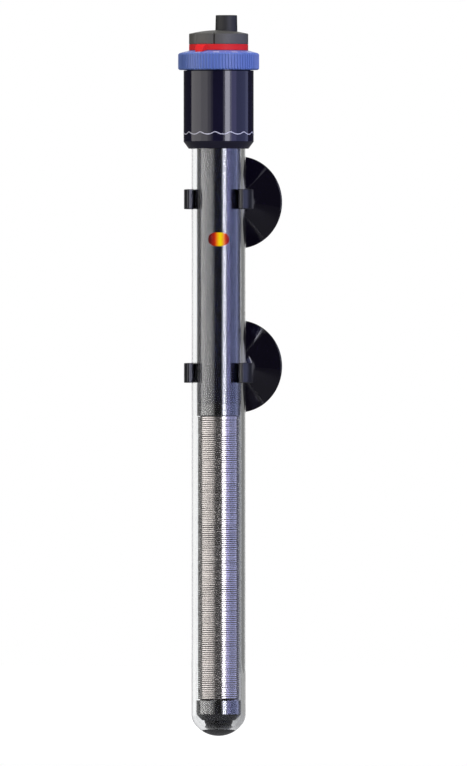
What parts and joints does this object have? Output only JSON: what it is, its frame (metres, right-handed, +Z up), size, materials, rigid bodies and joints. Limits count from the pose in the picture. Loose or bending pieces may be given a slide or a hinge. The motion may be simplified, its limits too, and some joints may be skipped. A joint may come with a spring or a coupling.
{
  "type": "submersible aquarium heater",
  "caption": "Glass tube heater with a wound element, ribbed setting dial, signal lamp, two clips and two suction cups.",
  "frame": {"origin": "centre of the upper suction cup's rim, on the wall that the heater hangs on", "axes": "+Z up along the tube towards the head, +Y into the wall, X sideways along the wall"},
  "size_m": [0.041, 0.0436, 0.32],
  "materials": {
    "clear_glass": "clear borosilicate tube",
    "navy_plastic": "glossy moulded, nearly black navy",
    "blue_plastic": "moulded, finely ribbed",
    "red_plastic": "moulded",
    "grey_plastic": "moulded",
    "gland_rubber": "moulded",
    "clip_plastic": "moulded, springy",
    "cup_rubber": "glossy soft rubber",
    "sleeve_plastic": "smoky dark navy",
    "lens_plastic": "clear red",
    "lamp_glass": "lit neon lamp",
    "white_ceramic": "unglazed",
    "resistance_wire": "drawn, slightly dulled",
    "dark_plastic": "heat-proof moulding",
    "soft_rubber": "moulded",
    "board": "pressed board",
    "bright_steel": "stamped and turned",
    "bimetal": "rolled strip",
    "brass": "turned",
    "white_plastic": "moulded",
    "magnet": "sintered",
    "component_shell": "dipped resin"
  },
  "bodies": {
    "heater": {"glass_tube": "clear_glass", "bottom_bumper": "soft_rubber", "bottom_spacer": "dark_plastic", "ceramic_core": "white_ceramic", "core_collar": "dark_plastic", "heating_wire": "resistance_wire", "inner_sleeve": "sleeve_plastic", "lamp_lens": "lens_plastic", "neon_lamp": "lamp_glass", "lamp_resistor": "component_shell", "suppression_capacitor": "component_shell", "thermostat_carrier": "board", "strip_bracket": "bright_steel", "rivets": "brass", "lever_pivot_pin": "bright_steel", "snap_magnet": "magnet", "spindle_seal": "soft_rubber", "seal_plug": "soft_rubber", "feedthrough_pins": "brass", "lead_wires": "brass", "head_housing": "navy_plastic", "top_cap": "grey_plastic", "cord_gland": "gland_rubber"},
    "dial": {"setting_dial": "blue_plastic"},
    "calibration_ring": {"calibration_ring": "red_plastic"},
    "spindle": {"adjuster_spindle": "bright_steel", "drive_pinion": "white_plastic", "spindle_retainer": "bright_steel"},
    "plunger": {"adjuster_plunger": "white_plastic"},
    "contact_lever": {"contact_lever": "bright_steel", "fixed_contact": "brass"},
    "bimetal": {"bimetal_strip": "bimetal", "moving_contact": "brass"},
    "upper_clip": {"upper_clip": "clip_plastic"},
    "upper_cup": {"upper_suction_cup": "cup_rubber"},
    "lower_clip": {"lower_clip": "clip_plastic"},
    "lower_cup": {"lower_suction_cup": "cup_rubber"}
  },
  "joints": [
    {"name": "dial_turn", "type": "hinge", "parent": "heater", "child": "dial", "pos_m": [0, -0.0256, 0.063], "axis": [0, 0, 1], "range_deg": [-135, 135]},
    {"name": "calibration_turn", "type": "hinge", "parent": "heater", "child": "calibration_ring", "pos_m": [0, -0.0256, 0.0686], "axis": [0, 0, 1], "range_deg": [-20, 20]},
    {"name": "spindle_turn", "type": "hinge", "parent": "heater", "child": "spindle", "pos_m": [-0.0056, -0.02775, 0.0639], "axis": [0, 0, 1], "range_deg": [-406, 406]},
    {"name": "plunger_slide", "type": "slide", "parent": "heater", "child": "plunger", "axis": [0, 0, -1], "range_m": [-0.00057, 0.00057]},
    {"name": "lever_tilt", "type": "hinge", "parent": "heater", "child": "contact_lever", "pos_m": [-0.00119, -0.0267, 0.01005], "axis": [0.3584, -0.9336, 0], "range_deg": [-7.3, 7.3]},
    {"name": "bimetal_bend", "type": "hinge", "parent": "heater", "child": "bimetal", "pos_m": [0.0026, -0.02525, -0.06495], "axis": [-0.3584, 0.9336, 0], "range_deg": [0, 1.4], "stiffness_Nm_per_rad": 0.2},
    {"name": "upper_clip_slide", "type": "slide", "parent": "heater", "child": "upper_clip", "axis": [0, 0, 1], "range_m": [-0.012, 0.017]},
    {"name": "upper_cup_turn", "type": "hinge", "parent": "upper_clip", "child": "upper_cup", "pos_m": [0, -0.0092, 0], "axis": [0, 1, 0], "continuous": true},
    {"name": "lower_clip_slide", "type": "slide", "parent": "heater", "child": "lower_clip", "axis": [0, 0, 1], "range_m": [-0.145, 0.015]},
    {"name": "lower_cup_turn", "type": "hinge", "parent": "lower_clip", "child": "lower_cup", "pos_m": [0, -0.0092, -0.073], "axis": [0, 1, 0], "continuous": true}
  ],
  "couplings": [
    {"joint": "spindle_turn", "follows": "dial_turn", "ratio": 3},
    {"joint": "plunger_slide", "follows": "dial_turn", "m_per_rad": 0.00023873},
    {"joint": "lever_tilt", "follows": "dial_turn", "ratio": 0.053052}
  ]
}
